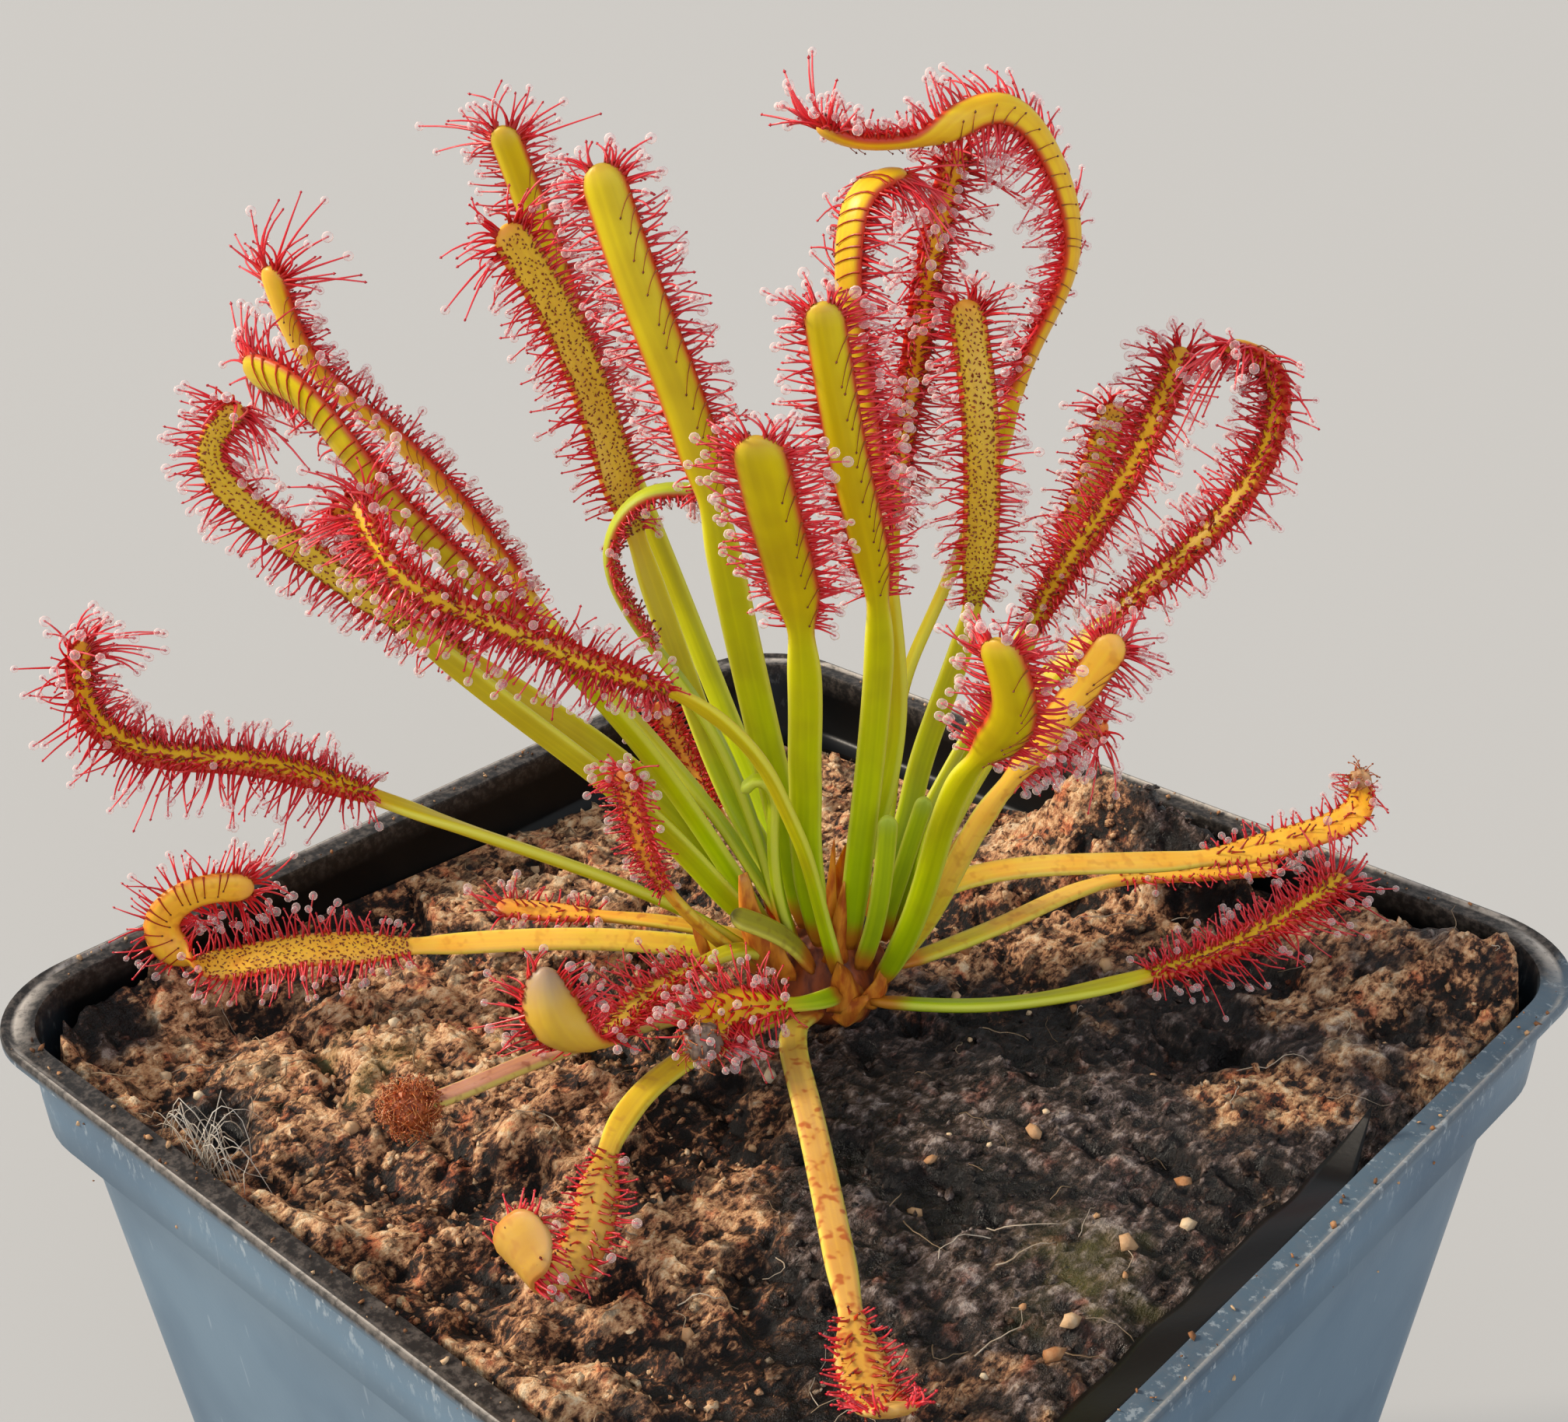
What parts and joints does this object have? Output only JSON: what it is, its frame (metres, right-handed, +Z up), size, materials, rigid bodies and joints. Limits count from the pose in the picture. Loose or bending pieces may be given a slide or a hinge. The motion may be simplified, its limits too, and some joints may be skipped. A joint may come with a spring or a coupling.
{
  "type": "potted sundew",
  "caption": "Sundew with tall curling leaves and sticky red tentacles, rooted in peat in a 9 cm square black nursery pot.",
  "frame": {"origin": "middle of the pot's base, level with the surface the pot stands on", "axes": "+Z up out of the pot, X and Y square to the pot's sides, with the corner between +X and -Y nearest the viewer"},
  "size_m": [0.09, 0.09, 0.1627],
  "materials": {
    "pot": "black moulded polypropylene, slightly dusty",
    "soil": "damp crumbled peat with a little grit",
    "crown": "dry papery leaf sheaths",
    "green": "living leaf, smooth and slightly glossy, with red tentacles",
    "young": "young unrolling leaf with fine hairs",
    "pale": "pale living petiole",
    "yellow": "ageing leaf turned yellow",
    "orange": "old leaf turned orange",
    "peach": "fading leaf with red flecks",
    "withered": "withered leaf, dry and rough"
  },
  "bodies": {
    "root": {"crown": "crown", "leaf_arched": "green", "leaf_back_left": "green", "leaf_back_orange": "orange", "leaf_back_slender": "green", "leaf_back_tall": "green", "leaf_bud_front": "young", "leaf_bud_right": "young", "leaf_crosier": "young", "leaf_cut_stub": "pale", "leaf_dotted": "green", "leaf_dotted_tall": "green", "leaf_front_cupped": "yellow", "leaf_front_dead": "withered", "leaf_front_folded": "yellow", "leaf_front_left": "yellow", "leaf_front_long": "peach", "leaf_front_middle": "green", "leaf_front_tall": "green", "leaf_left_dotted": "green", "leaf_left_hidden": "pale", "leaf_left_hooked": "yellow", "leaf_left_low": "green", "leaf_left_red": "green", "leaf_left_small": "orange", "leaf_left_striped": "green", "leaf_looped": "green", "leaf_middle_right": "yellow", "leaf_near_right": "green", "leaf_orange_right": "orange", "leaf_right_back": "green", "leaf_right_curled": "green", "leaf_right_green": "green", "leaf_right_tall": "green", "leaf_right_under": "yellow", "leaf_right_yellow": "yellow", "leaf_small_red": "orange", "leaf_upper_left": "green", "leaf_young_curled": "young", "pot": "pot", "soil": "soil"}
  },
  "joints": []
}
